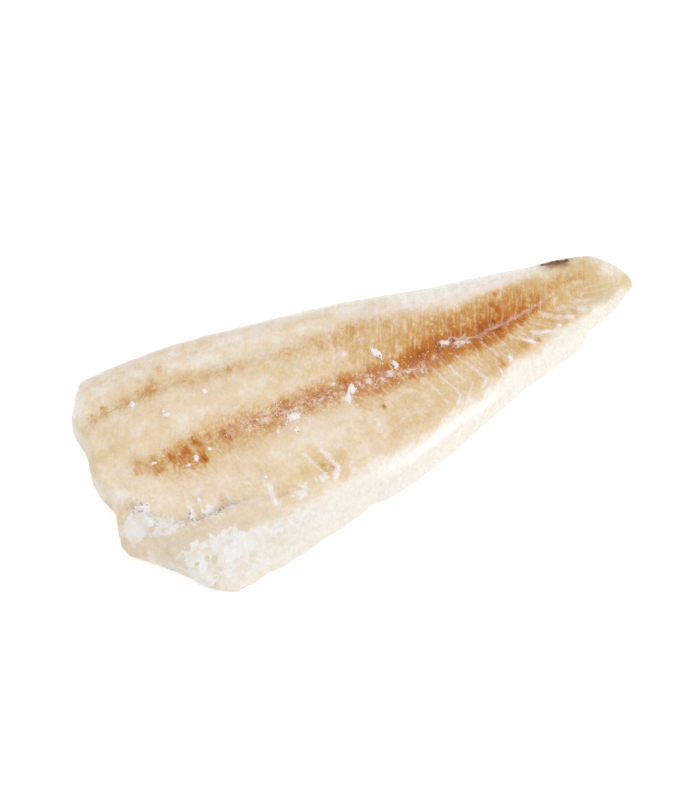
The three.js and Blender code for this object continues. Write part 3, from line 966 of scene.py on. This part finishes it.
class FleshLook:
    """The flesh's colour, covered layer by layer."""

    def __init__(self, steps, settings):
        self.steps = steps
        self.settings = settings
        self.mark = {kind: steps.attribute(kind) for kind in MARKS}
        self.ice = steps.group(shared("Ice grain", grain_group), size=1.5)
        self.clouds = steps.noise(9.0, 4.0, 0.6)
        self.waver = steps.noise(3.0, 3.0, 0.6)
        self.flake = steps.plus(self.mark["flake"], steps.swing(self.waver, 0.28))
        self.streaks = self.drawn_out(4.6, 0.085, 4.0, 0.62)
        self.look = self.color("cream")

    def drawn_out(self, per_flake, per_mm, detail, roughness):
        """Noise drawn out along the flakes, from its bumps in a flake and in a millimetre across."""
        steps = self.steps
        across = steps.times(self.mark["across"], per_mm)
        return steps.flat_noise(steps.times(self.flake, per_flake), across, detail, roughness)

    def color(self, name):
        """A colour of the settings."""
        return opaque(getattr(self.settings, name))

    def cover(self, share, color):
        """Covers the look with a share of a colour, given as a setting's name or as a socket."""
        color = self.color(color) if isinstance(color, str) else color
        self.look = self.steps.blend(share, self.look, color)

    def shade(self, value):
        """Makes the look lighter or darker by a value near 1."""
        self.look = self.steps.shade(self.look, value)

    def add_loin(self):
        """Cream flesh in broad soft patches, yellow where it is translucent."""
        steps, clouds = self.steps, self.clouds
        self.cover(steps.rise(steps.noise(26.0, 3.0), 0.4, 0.6), "deep_cream")
        self.cover(steps.rise(clouds, 0.44, 0.7, 0.0, 0.52), "pale")
        self.cover(steps.rise(clouds, 0.26, 0.48, 0.42, 0.0), "shaded")
        self.cover(steps.times(self.mark["yellow"], steps.rise(clouds, 0.34, 0.64, 1.0, 0.4)), "yellow")

    def add_brown_muscle(self):
        """Brown muscle: a soft wash, denser tufts, and pale crumbs where frost lies on them."""
        steps, mark = self.steps, self.mark
        clumps = steps.noise(2.6, 3.0, 0.6)
        flake, across = steps.times(mark["flake"], 6.0), steps.times(mark["across"], 0.5)
        strokes = steps.flat_noise(flake, across, 3.0, 0.6)
        fibres = steps.times(steps.swing(self.streaks, 2.6), steps.rise(mark["fibre"], 0.4, 1.0, 0.3, 1.0))
        grain = steps.times(steps.swing(strokes, 1.5), steps.rise(mark["fibre"], 0.4, 1.0, 1.0, 0.3))
        uneven = steps.plus(1.0, steps.swing(clumps, 1.7), fibres, grain)
        pale_streaks = steps.rise(steps.plus(self.streaks, steps.swing(clumps, 0.5)), 0.54, 0.74, 0.0, 0.5)
        uneven = steps.minus(uneven, steps.times(pale_streaks, mark["fibre"]))
        dense = steps.times(steps.times(mark["brown"], 1.06), uneven)
        self.cover(steps.rise(dense, 0.0, 0.62), "tan")
        self.cover(steps.rise(dense, 0.34, 1.0), "brown")
        self.cover(steps.rise(dense, 1.0, 1.85), "dark")
        crumbs = steps.rise(steps.noise(0.8, 2.0, 0.6), 0.54, 0.66, 0.0, 0.6)
        crumbs = steps.times(crumbs, steps.rise(mark["brown"], 0.15, 0.75))
        self.cover(steps.times(crumbs, steps.plus(0.06, steps.times(mark["frost"], 0.8))), "rime")

    def add_pale_flesh(self):
        """Pale hairs, the stain, the shaded seam, white edges with a painted highlight on the belly edge,
        the glassy flap and faint fibres.
        """
        steps, mark, clouds, waver = self.steps, self.mark, self.clouds, self.waver
        hairs = steps.rise(self.drawn_out(9.0, 0.16, 2.0, 0.5), 0.56, 0.7, 0.0, 0.24)
        self.cover(steps.times(hairs, steps.rise(clouds, 0.4, 0.6)), "pale")
        stain = steps.plus(mark["stain"], steps.swing(waver, 0.8), steps.swing(self.streaks, 0.4))
        self.cover(steps.rise(stain, 0.2, 1.0, 0.0, 0.85), "stain")
        self.cover(steps.times(mark["seam"], steps.rise(waver, 0.3, 0.6, 0.3, 0.9)), "shadow")
        fibres = steps.times(steps.swing(self.streaks, 1.0), mark["fibre"])
        pale = steps.plus(mark["pale"], steps.times(fibres, 0.6), steps.swing(clouds, 1.2))
        self.cover(steps.rise(pale, 0.15, 0.9, 0.0, 0.94), "pale")
        self.cover(steps.times(mark["flap"], steps.rise(clouds, 0.36, 0.62, 0.9, 0.35)), "flap")
        edge, flake = steps.times(mark["edge"], 0.55), steps.times(mark["flake"], 0.35)
        edge_streaks = steps.flat_noise(edge, flake, 3.0, 0.6)
        # White rims, and a painted highlight along the shoulder of the belly edge
        self.cover(steps.times(mark["ridge"], steps.rise(edge_streaks, 0.3, 0.6, 0.3, 1.0)), "white")
        self.shade(steps.rise(self.ice["Value"], 0.28, 0.72, 0.95, 1.045))
        self.shade(steps.plus(1.0, steps.times(fibres, 0.14)))
        near_edge = steps.rise(mark["edge"], 3.0, 14.0, 1.0, 0.0)
        self.shade(steps.plus(1.0, steps.times(steps.swing(edge_streaks, 0.12), near_edge)))

    def add_frost(self):
        """Frost as lines, dust, needles, threads and film; returns masks of the lines and of thick frost."""
        steps, mark, clouds, waver = self.steps, self.mark, self.clouds, self.waver
        to_line = steps.math("ABSOLUTE", steps.minus(self.flake, steps.math("ROUND", self.flake)))
        lines = steps.rise(to_line, 0.01, 0.09, 1.0, 0.0)
        broken_lines = steps.times(lines, steps.rise(waver, 0.4, 0.62))
        self.cover(steps.times(broken_lines, mark["frost_lines"]), "rime")

        thin, thick = self.color("rime"), self.color("frost")
        rime = steps.blend(steps.rise(mark["frost"], 0.45, 0.8), thin, thick)
        patches = shared("Ragged patches", patches_group)
        dust = steps.group(patches, amount=mark["frost"], size=2.1, softness=0.14)["Mask"]
        self.cover(steps.times(mark["frost"], 0.15), rime)
        self.cover(steps.times(dust, 0.85), rime)
        needles = steps.rise(self.drawn_out(8.0, 0.4, 2.0, 0.5), 0.59, 0.72)
        needles = steps.times(needles, steps.rise(clouds, 0.42, 0.56, 0.1, 0.65))
        self.cover(steps.times(needles, steps.rise(mark["brown"], 0.3, 0.9, 1.0, 0.3)), rime)

        crumbs = steps.noise(1.0, 2.0, 0.6)
        off_thread = steps.plus(mark["thread"], steps.swing(waver, 2.0), steps.swing(crumbs, 3.0))
        thread = steps.rise(off_thread, 0.0, 2.0, 0.95, 0.0)
        thread = steps.times(thread, steps.rise(clouds, 0.36, 0.56, 0.5, 1.0))
        thread = steps.times(thread, mark["thread_share"])
        self.cover(thread, steps.blend(mark["thread_share"], thin, thick))
        film = self.film_mask()
        grain = steps.rise(self.ice["Value"], 0.3, 0.7, 0.965, 1.025)
        self.cover(film, steps.shade(self.color("film"), grain))
        return lines, steps.larger(steps.larger(dust, thread), steps.times(film, 0.5))

    def film_mask(self):
        """White film with torn edges, and a web of thin strands round it."""
        steps, film = self.steps, self.mark["film"]
        warp_inputs = {"Vector": steps.place(), "Scale": 1.0 / (5.0 * MM), "Detail": 2.0}
        warp = steps.node("ShaderNodeTexNoise", warp_inputs).outputs["Color"]
        bent_inputs = {0: warp, 1: (6.0 * MM, 6.0 * MM, 6.0 * MM), 2: steps.place()}
        bent = steps.node("ShaderNodeVectorMath", bent_inputs, operation="MULTIPLY_ADD").outputs[0]
        cell_inputs = {"Vector": bent, "Scale": 1.0 / (7.0 * MM)}
        cells = steps.node("ShaderNodeTexVoronoi", cell_inputs, feature="DISTANCE_TO_EDGE")
        web = steps.rise(cells.outputs["Distance"], 0.02, 0.14, 2.2, 0.0)
        web = steps.times(web, steps.rise(film, -3.0, -0.5))
        torn = steps.plus(steps.swing(steps.noise(5.0), 4.0), steps.swing(steps.noise(1.6, 3.0, 0.6), 2.2))
        cover = steps.rise(steps.plus(film, torn, web), -0.2, 0.8)
        cover = steps.times(cover, steps.rise(steps.noise(4.0), 0.36, 0.58, 0.5, 0.95))
        return steps.larger(cover, steps.rise(steps.plus(film, torn), -3.5, 0.5, 0.0, 0.14))

    def add_specks(self):
        """Pale glints of ice all over, which are returned, and dark specks here and there."""
        steps, mark = self.steps, self.mark
        cells = steps.node("ShaderNodeTexVoronoi", {"Vector": steps.place(), "Scale": 1.0 / (1.1 * MM)})
        dot = steps.rise(cells.outputs["Distance"], 0.16, 0.46, 1.0, 0.0)
        pick = steps.node("ShaderNodeSeparateColor", {0: cells.outputs["Color"]}).outputs[0]
        share = steps.plus(0.03, steps.times(mark["brown"], 0.03), steps.times(mark["frost"], 0.12))
        glints = steps.times(dot, steps.math("LESS_THAN", pick, share))
        self.cover(steps.times(glints, 0.55), "rime")
        dots = steps.times(mark["specks"], steps.rise(steps.noise(1.1), 0.55, 0.64))
        self.cover(steps.times(dots, 0.75), "speck")
        return glints


def flesh_material(settings):
    """Cream flesh, brown muscle, white edges with a painted highlight, flake lines, frost and a thin glaze
    of ice.
    """
    material, steps, shader = new_material("hake_flesh")
    flesh = FleshLook(steps, settings)
    flesh.add_loin()
    flesh.add_brown_muscle()
    flesh.add_pale_flesh()
    lines, frosted = flesh.add_frost()
    glints = flesh.add_specks()
    raised = steps.plus(steps.times(frosted, 0.4), steps.times(glints, 0.4), steps.times(lines, -0.3))
    rough = steps.rise(flesh.ice["Value"], 0.3, 0.7, 0.4, 0.56)
    set_shader(steps, shader, {
        "Base Color": flesh.look, "Roughness": steps.plus(rough, steps.times(frosted, 0.15)), "IOR": 1.36,
        "Normal": steps.bump(0.5, 0.4 * MM, steps.plus(flesh.ice["Height"], raised)),
        "Subsurface Weight": 0.3, "Subsurface Radius": (1.0, 0.7, 0.45), "Subsurface Scale": 1.4 * MM,
        "Specular IOR Level": 0.2, "Coat Weight": 0.12, "Coat Roughness": 0.25, "Coat IOR": 1.31,
    })
    return material


def frost_material(settings):
    """White frost crystals."""
    material, steps, shader = new_material("frost_crystal")
    grain = steps.group(shared("Ice grain", grain_group), size=0.7)
    set_shader(steps, shader, {
        "Base Color": steps.shade(opaque(settings.color), steps.rise(grain["Value"], 0.3, 0.7, 0.93, 1.0)),
        "Normal": steps.bump(0.4, 0.2 * MM, grain["Height"]), "IOR": 1.31, "Roughness": 0.5,
        "Emission Color": opaque(settings.color), "Emission Strength": settings.glow,
    })
    return material


def skin_material(settings):
    """Dark skin, worn light towards its border."""
    material, steps, shader = new_material("hake_skin")
    grain = steps.group(shared("Ice grain", grain_group), size=0.7)
    inside = steps.plus(steps.attribute("level"), steps.swing(steps.noise(1.6, 3.0, 0.6), 2.0))
    dark = steps.rise(inside, 0.1, 1.4)
    set_shader(steps, shader, {
        "Base Color": steps.blend(dark, opaque(settings.light), opaque(settings.dark)),
        "Roughness": steps.rise(grain["Value"], 0.3, 0.7, 0.45, 0.65),
        "Normal": steps.bump(0.5, 0.3 * MM, grain["Height"]), "Specular IOR Level": 0.25,
    })
    return material


def add_object(name, mesh, material):
    """A new piece with the mesh and material, riding on the fillet's body."""
    if not mesh.polygons:
        raise RuntimeError(f"{name} has no faces")
    mesh.materials.clear()
    mesh.materials.append(material)
    made = bpy.data.objects.new(name, mesh)
    bpy.context.scene.collection.objects.link(made)
    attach(made, BODY)
    return made


def evaluated(mesh, modifiers, underside=()):
    """The mesh after the given modifiers, as new data; underside lists the points of that vertex group."""
    holder = bpy.data.objects.new(mesh.name, mesh)
    bpy.context.scene.collection.objects.link(holder)
    if len(underside):
        holder.vertex_groups.new(name="underside").add(underside, 1.0, "REPLACE")
    for kind, settings in modifiers:
        modifier = holder.modifiers.new(kind.lower(), kind)
        for name, value in settings.items():
            setattr(modifier, name, value)
    result = bpy.data.meshes.new_from_object(holder.evaluated_get(bpy.context.evaluated_depsgraph_get()))
    bpy.data.objects.remove(holder)
    return result


def solid_copy():
    """The solid's mesh with its split points joined."""
    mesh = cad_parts[NODE].data.copy()
    work = bmesh.new()
    work.from_mesh(mesh)
    bmesh.ops.remove_doubles(work, verts=work.verts, dist=1e-6)
    work.to_mesh(mesh)
    work.free()
    return mesh


def fine_flesh(settings):
    """The solid as a fine, even mesh, with fewer points on its flat underside."""
    remesh = ("REMESH", {"mode": "VOXEL", "voxel_size": settings.mesh_step, "use_smooth_shade": True})
    mesh = evaluated(solid_copy(), [remesh, ("SMOOTH", {"factor": 0.5, "iterations": 5})])
    low = np.nonzero(coordinates(mesh)[:, 2] < UNDERSIDE_HEIGHT)[0].tolist()
    keep = 1.0 - len(low) * (1.0 - settings.underside_share) / len(mesh.vertices)
    thin_out = ("DECIMATE", {"ratio": keep, "vertex_group": "underside", "vertex_group_factor": 10.0})
    return evaluated(mesh, [thin_out], low)


def shade_smooth(mesh):
    """Shades all faces smooth."""
    mesh.polygons.foreach_set("use_smooth", np.ones(len(mesh.polygons), bool))
    mesh.update()


class FILLET_OT_flesh(bpy.types.Operator):
    """Makes the fine flesh that stands for the solid"""

    bl_idname = "fillet.flesh"
    bl_label = "Make flesh"

    def execute(self, context):
        settings = context.scene.fillet_flesh
        mesh = fine_flesh(settings)
        points = coordinates(mesh) / MM
        places = Places(points, Outline(points))
        normals = coordinates(mesh, "vector")
        marks = places.marks(normals[:, 2])
        for name, values in marks.items():
            mesh.attributes.new(name, "FLOAT", "POINT").data.foreach_set("value", values.astype(np.float32))
        moved = points + normals * relief(places, marks, normals[:, 2])[:, None]
        moved[:, 2] = np.maximum(moved[:, 2], 0.0)
        mesh.vertices.foreach_set("co", (moved * MM).astype(np.float32).ravel())
        shade_smooth(mesh)
        flesh = add_object("flesh", mesh, flesh_material(settings))
        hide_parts(NODE)
        return {"FINISHED"}


def skin_sheet(thickness):
    """A thin closed sheet over the flesh where the scrap of skin lies."""
    source = bpy.data.objects["flesh"].data
    points = coordinates(source) / MM
    outline = Outline(points)
    near = Places(points, outline).skin() > -SKIN_MARGIN
    work = bmesh.new()
    work.from_mesh(source)
    stray = [face for face in work.faces if not any(near[v.index] for v in face.verts)]
    bmesh.ops.delete(work, geom=stray, context="FACES")
    bmesh.ops.subdivide_edges(work, edges=work.edges, cuts=SKIN_CUTS, use_grid_fill=True)
    work.verts.index_update()
    work.normal_update()
    level = Places(np.array([v.co for v in work.verts]) / MM, outline).skin()
    lift = thickness * (0.15 + 0.85 * smooth(level, 0.0, 0.3))
    stray = [face for face in work.faces if min(level[v.index] for v in face.verts) < 0.0]
    layer = work.verts.layers.float.new("level")
    for vert in work.verts:
        vert.co += vert.normal * lift[vert.index]
        vert[layer] = level[vert.index]
    bmesh.ops.delete(work, geom=stray, context="FACES")
    mesh = bpy.data.meshes.new("skin_scrap")
    work.to_mesh(mesh)
    work.free()
    for name in MARKS:
        mesh.attributes.remove(mesh.attributes[name])
    mesh = evaluated(mesh, [("SOLIDIFY", {"thickness": thickness, "offset": -1.0})])
    shade_smooth(mesh)
    return mesh


class FILLET_OT_skin(bpy.types.Operator):
    """Makes the scrap of dark skin on the back edge"""

    bl_idname = "fillet.skin"
    bl_label = "Make skin scrap"

    def execute(self, context):
        settings = context.scene.fillet_skin
        add_object("skin_scrap", skin_sheet(settings.thickness), skin_material(settings))
        return {"FINISHED"}


def icosahedron():
    """Points and faces of a regular body with twenty faces, of radius 1."""
    work = bmesh.new()
    bmesh.ops.create_icosphere(work, subdivisions=1, radius=1.0)
    points = np.array([v.co for v in work.verts])
    faces = [tuple(v.index for v in face.verts) for face in work.faces]
    work.free()
    return points, faces


class FrostHeap:
    """Collects frost crystals into one mesh, resting on the flesh."""

    def __init__(self, flesh, crystal, rng):
        corners = [v.co for v in flesh.vertices]
        self.tree = BVHTree.FromPolygons(corners, [tuple(p.vertices) for p in flesh.polygons])
        self.body, self.body_faces = icosahedron()
        self.crystal = crystal
        self.rng = rng
        self.verts = []
        self.faces = []

    def add_crystal(self, along, across, up, size):
        """One uneven crystal over a place on the flesh, or none past its edge."""
        start = Vector(((along + HEAD_END) * MM, (across + MIDLINE_Y) * MM, 1.0))
        point, normal, _, _ = self.tree.ray_cast(start, Vector((0, 0, -1)))
        if point is None:
            return
        centre = np.array(point + normal * up * MM)
        stretch = self.rng.uniform(0.5, 1.4, 3) * size * self.crystal / 2.0
        turn = np.linalg.qr(self.rng.normal(size=(3, 3)))[0]
        jag = self.rng.uniform(0.7, 1.25, (len(self.body), 1))
        first = len(self.verts)
        self.verts.extend((centre + (self.body * jag * stretch) @ turn.T).tolist())
        self.faces.extend(tuple(first + corner for corner in face) for face in self.body_faces)

    def add_heap(self, along, across, length, width, height, turn):
        """A ragged heap of crystals over an oval of the flesh, with a few strays round it."""
        cos, sin = math.cos(math.radians(turn)), math.sin(math.radians(turn))
        lobes = self.rng.normal(0.0, 0.5, (4, 2)) * (length / 2.0, width / 2.0)
        for _ in range(int(HEAP_CRYSTALS * length * width) + 3):
            x, y = self.rng.choice(lobes) + self.rng.normal(0.0, 0.2, 2) * (length, width)
            off = math.hypot(2.0 * x / length, 2.0 * y / width)
            up = height * max(0.0, 1.0 - off) * self.rng.uniform(0.3, 1.0)
            size = self.rng.uniform(*HEAP_SIZES) * (1.3 - 0.5 * min(off, 1.6))
            self.add_crystal(along + x * cos - y * sin, across + x * sin + y * cos, up, size)

    def add_thread(self, route, width, share):
        """Small crystals along a frost thread."""
        for start, end in zip(route, route[1:]):
            for _ in range(int(THREAD_CRYSTALS * share**2 * width * math.dist(start, end))):
                along, across = np.array(start) + self.rng.uniform() * np.subtract(end, start)
                off = self.rng.normal(0.0, width / 3.0, 2)
                self.add_crystal(along + off[0], across + off[1], 0.0, self.rng.uniform(*THREAD_SIZES))

    def add_stray(self):
        """A single crystal near the midline."""
        along = self.rng.uniform(*STRAY_ALONG)
        across = read(FROST_LINE, along) + self.rng.normal(0.0, STRAY_SPREAD)
        self.add_crystal(along, across, 0.0, self.rng.uniform(*STRAY_SIZES))

    def mesh(self, name):
        """All the crystals as a mesh."""
        made = bpy.data.meshes.new(name)
        made.from_pydata(self.verts, [], self.faces)
        made.validate()
        made.update()
        return made


class FILLET_OT_frost(bpy.types.Operator):
    """Makes the frost crystals: in heaps, along the threads and singly over the loin"""

    bl_idname = "fillet.frost"
    bl_label = "Make frost crystals"

    def execute(self, context):
        settings = context.scene.fillet_frost
        flesh = bpy.data.objects["flesh"].data
        frost = FrostHeap(flesh, settings.crystal, np.random.default_rng(FROST_SEED))
        for heap in FROST_HEAPS:
            frost.add_heap(*heap)
        for thread in FROST_THREADS:
            frost.add_thread(*thread)
        for _ in range(settings.stray_crystals):
            frost.add_stray()
        add_object("frost_crystals", frost.mesh("frost_crystals"), frost_material(settings))
        return {"FINISHED"}


def aimed(name, data, place, way):
    """Links a camera or light to the scene, at a place and looking along a way."""
    made = bpy.data.objects.new(name, data)
    made.location = place
    made.rotation_euler = way.to_track_quat("-Z", "Y").to_euler()
    bpy.context.scene.collection.objects.link(made)
    return made


def add_area_light(name, place, size, power):
    """A square light that shines on the middle of the fillet."""
    light = bpy.data.lights.new(name, "AREA")
    light.shape = "SQUARE"
    light.size = size
    light.energy = power
    aimed(name, light, place, -Vector(place))


def add_camera(settings):
    """The camera at the photograph's viewing angle."""
    turn, rise = settings.azimuth, settings.elevation
    back = Vector((math.sin(turn) * math.cos(rise), -math.cos(turn) * math.cos(rise), math.sin(rise)))
    camera = bpy.data.cameras.new("camera")
    camera.sensor_fit = "VERTICAL"
    camera.sensor_height = SENSOR_HEIGHT
    camera.lens = settings.lens
    return aimed("camera", camera, Vector(settings.aim) + back * settings.distance, -back)


def add_floor(settings):
    """A pale floor just under the fillet, with some light of its own."""
    bpy.ops.mesh.primitive_plane_add(size=FLOOR_SIZE, location=(0, 0, FLOOR_HEIGHT))
    floor = bpy.context.active_object
    floor.name = "floor"
    material, steps, shader = new_material("floor")
    set_shader(steps, shader, {
        "Base Color": opaque(settings.floor), "Roughness": 0.9,
        "Emission Color": WHITE, "Emission Strength": settings.glow,
    })
    floor.data.materials.append(material)


class FILLET_OT_stage(bpy.types.Operator):
    """Makes the floor, the light and the camera"""

    bl_idname = "fillet.stage"
    bl_label = "Make stage"

    def execute(self, context):
        scene = context.scene
        settings = scene.fillet_stage
        scene.camera = add_camera(settings)
        world = bpy.data.worlds.new("even_light")
        world.use_nodes = True
        even_light = world.node_tree.nodes["Background"].inputs
        even_light["Color"].default_value = WHITE
        even_light["Strength"].default_value = settings.sky
        scene.world = world
        for name, place, size in LIGHTS:
            add_area_light(name, place, size, getattr(settings, name))
        add_floor(settings)
        scene.view_settings.view_transform = "Standard"
        return {"FINISHED"}


class FILLET_PT_panel(bpy.types.Panel):
    """Lists the fillet's pieces and settings"""

    bl_idname = "FILLET_PT_panel"
    bl_label = "Frozen hake fillet"
    bl_space_type = "VIEW_3D"
    bl_region_type = "UI"
    bl_category = "Fillet"

    def draw(self, context):
        for operator in OPERATORS:
            self.layout.operator(operator.bl_idname)
        for name in SETTINGS:
            settings = getattr(context.scene, name)
            box = self.layout.box()
            for prop in settings.__annotations__:
                box.prop(settings, prop)


SETTINGS = {
    "fillet_flesh": FleshSettings,
    "fillet_frost": FrostSettings,
    "fillet_skin": SkinSettings,
    "fillet_stage": StageSettings,
}
OPERATORS = (FILLET_OT_stage, FILLET_OT_flesh, FILLET_OT_skin, FILLET_OT_frost)
CLASSES = (*SETTINGS.values(), *OPERATORS, FILLET_PT_panel)


def register():
    """Registers the classes and hangs the settings on the scene."""
    for cls in CLASSES:
        bpy.utils.register_class(cls)
    for name, cls in SETTINGS.items():
        setattr(bpy.types.Scene, name, PointerProperty(type=cls))


def unregister():
    """Takes the settings and classes away again."""
    for name in SETTINGS:
        delattr(bpy.types.Scene, name)
    for cls in reversed(CLASSES):
        bpy.utils.unregister_class(cls)


def main():
    """Makes the whole scene."""
    register()
    bpy.ops.fillet.stage()
    bpy.ops.fillet.flesh()
    bpy.ops.fillet.skin()
    bpy.ops.fillet.frost()


if __name__ == "__main__":
    main()
